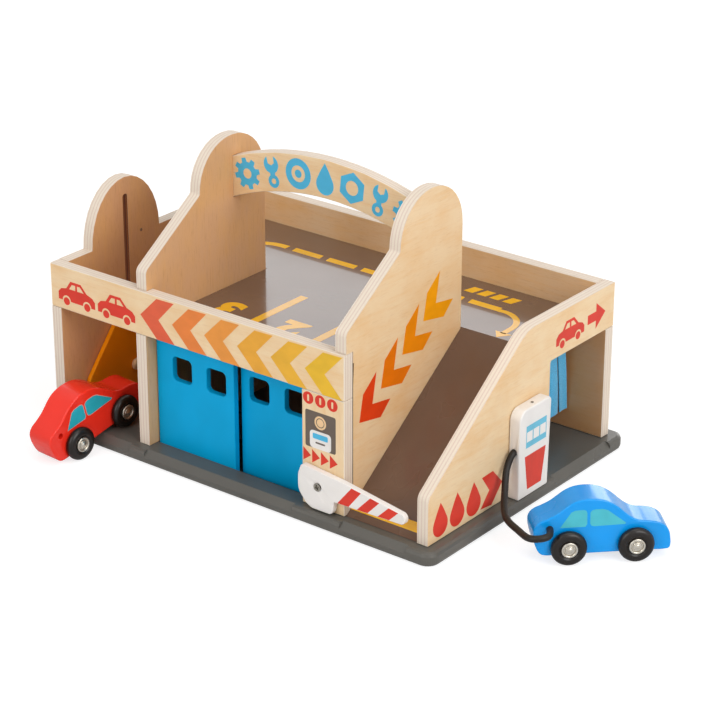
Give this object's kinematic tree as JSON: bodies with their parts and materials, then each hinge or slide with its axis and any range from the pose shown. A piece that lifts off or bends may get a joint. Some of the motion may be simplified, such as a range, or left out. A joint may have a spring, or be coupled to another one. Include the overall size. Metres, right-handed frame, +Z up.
{
  "type": "toy service station",
  "caption": "Wooden toy service station with a roof deck, ramp, slot-guided lift, sliding doors, swing barrier, felt curtain, pump with hose, and small cars.",
  "frame": {"origin": "centre of the base board's underside, on the floor", "axes": "+X along the front from the lift bay to the ramp, +Y from the front to the rear, +Z up"},
  "size_m": [0.5105, 0.3082, 0.2378],
  "materials": {
    "birch_ply": "birch plywood, sanded and clear lacquered, layered edges",
    "birch_turned": "solid birch, sanded and clear lacquered",
    "base_grey": "plywood with semi-matt dark grey paint, worn at the edges",
    "deck_brown": "plywood with satin grey-brown paint",
    "door_blue": "thin board with satin blue paint",
    "lift_orange": "thin board with satin orange paint",
    "barrier_white": "board with satin white paint and printed stripes",
    "pump_white": "board with satin white paint and printed panels",
    "felt_blue": "pressed felt",
    "hose_black": "smooth round rubber cord",
    "nickel_steel": "nickel-plated steel",
    "wheel_black": "turned wood with black satin paint",
    "car_red": "solid wood with glossy red paint",
    "car_blue": "solid wood with glossy blue paint"
  },
  "bodies": {
    "station": {"base_plate": "base_grey", "left_side_panel": "birch_ply", "left_tower_panel": "birch_ply", "right_tower_panel": "birch_ply", "right_side_panel": "birch_ply", "rear_panel": "birch_ply", "front_beam": "birch_ply", "pay_post": "birch_ply", "sign_arch": "birch_ply", "deck": "deck_brown", "ramp": "deck_brown", "barrier_screw": "nickel_steel", "gas_pump": "pump_white", "fuel_hose": "hose_black", "curtain_batten": "birch_turned"},
    "lift": {"lift_platform": "base_grey", "lift_guard": "lift_orange", "lift_guide_peg": "birch_turned", "lift_knob": "birch_turned"},
    "left_door_leaf": {"left_door": "door_blue"},
    "right_door_leaf": {"right_door": "door_blue"},
    "barrier": {"barrier_arm": "barrier_white"},
    "curtain_1": {"felt_strip_1": "felt_blue"},
    "curtain_2": {"felt_strip_2": "felt_blue"},
    "curtain_3": {"felt_strip_3": "felt_blue"},
    "curtain_4": {"felt_strip_4": "felt_blue"},
    "curtain_5": {"felt_strip_5": "felt_blue"},
    "curtain_6": {"felt_strip_6": "felt_blue"},
    "red_car": {"red_car_body": "car_red"},
    "red_car_rear_wheels": {"red_car_rear_axle": "nickel_steel", "red_car_rear_left_wheel": "wheel_black", "red_car_rear_right_wheel": "wheel_black"},
    "red_car_front_wheels": {"red_car_front_axle": "nickel_steel", "red_car_front_left_wheel": "wheel_black", "red_car_front_right_wheel": "wheel_black"},
    "blue_car": {"blue_car_body": "car_blue"},
    "blue_car_rear_wheels": {"blue_car_rear_axle": "nickel_steel", "blue_car_rear_left_wheel": "wheel_black", "blue_car_rear_right_wheel": "wheel_black"},
    "blue_car_front_wheels": {"blue_car_front_axle": "nickel_steel", "blue_car_front_left_wheel": "wheel_black", "blue_car_front_right_wheel": "wheel_black"}
  },
  "joints": [
    {"name": "lift_slide", "type": "slide", "parent": "station", "child": "lift", "axis": [0, 0, 1], "range_m": [0, 0.1035]},
    {"name": "left_door_slide", "type": "slide", "parent": "station", "child": "left_door_leaf", "axis": [1, 0, 0], "range_m": [0, 0.103]},
    {"name": "right_door_slide", "type": "slide", "parent": "station", "child": "right_door_leaf", "axis": [1, 0, 0], "range_m": [-0.078, 0.025]},
    {"name": "barrier_swing", "type": "hinge", "parent": "station", "child": "barrier", "pos_m": [0.087, -0.1195, 0.0311], "axis": [0, -1, 0], "range_deg": [0, 90]},
    {"name": "curtain_1_swing", "type": "hinge", "parent": "station", "child": "curtain_1", "pos_m": [0.152, 0.03995, 0.0974], "axis": [0, 1, 0], "range_deg": [-60, 60]},
    {"name": "curtain_2_swing", "type": "hinge", "parent": "station", "child": "curtain_2", "pos_m": [0.152, 0.05085, 0.0974], "axis": [0, 1, 0], "range_deg": [-60, 60]},
    {"name": "curtain_3_swing", "type": "hinge", "parent": "station", "child": "curtain_3", "pos_m": [0.152, 0.06175, 0.0974], "axis": [0, 1, 0], "range_deg": [-60, 60]},
    {"name": "curtain_4_swing", "type": "hinge", "parent": "station", "child": "curtain_4", "pos_m": [0.152, 0.07265, 0.0974], "axis": [0, 1, 0], "range_deg": [-60, 60]},
    {"name": "curtain_5_swing", "type": "hinge", "parent": "station", "child": "curtain_5", "pos_m": [0.152, 0.08355, 0.0974], "axis": [0, 1, 0], "range_deg": [-60, 60]},
    {"name": "curtain_6_swing", "type": "hinge", "parent": "station", "child": "curtain_6", "pos_m": [0.152, 0.09445, 0.0974], "axis": [0, 1, 0], "range_deg": [-60, 60]},
    {"name": "red_car_roll", "type": "slide", "parent": "station", "child": "red_car", "axis": [0.0741, 0.9973, 0], "range_m": [-0.02, 0.005]},
    {"name": "red_rear_wheels_turn", "type": "hinge", "parent": "red_car", "child": "red_car_rear_wheels", "pos_m": [-0.1421, -0.1512, 0.0133], "axis": [-0.9973, 0.0741, 0], "range_deg": [-95, 30]},
    {"name": "red_front_wheels_turn", "type": "hinge", "parent": "red_car", "child": "red_car_front_wheels", "pos_m": [-0.13856, -0.10355, 0.0246], "axis": [-0.9973, 0.0741, 0], "range_deg": [-95, 30]},
    {"name": "blue_car_draw_off", "type": "slide", "parent": "station", "child": "blue_car", "axis": [-0.7071, 0.7071, 0], "range_m": [0, 0.025]},
    {"name": "blue_rear_wheels_turn", "type": "hinge", "parent": "blue_car", "child": "blue_car_rear_wheels", "pos_m": [0.2552, -0.0499, 0.0133], "axis": [-0.7071, 0.7071, 0], "continuous": true},
    {"name": "blue_front_wheels_turn", "type": "hinge", "parent": "blue_car", "child": "blue_car_front_wheels", "pos_m": [0.28992, -0.01518, 0.0133], "axis": [-0.7071, 0.7071, 0], "continuous": true}
  ],
  "couplings": [
    {"joint": "red_rear_wheels_turn", "follows": "red_car_roll", "rad_per_m": 75.188},
    {"joint": "red_front_wheels_turn", "follows": "red_car_roll", "rad_per_m": 75.188}
  ]
}
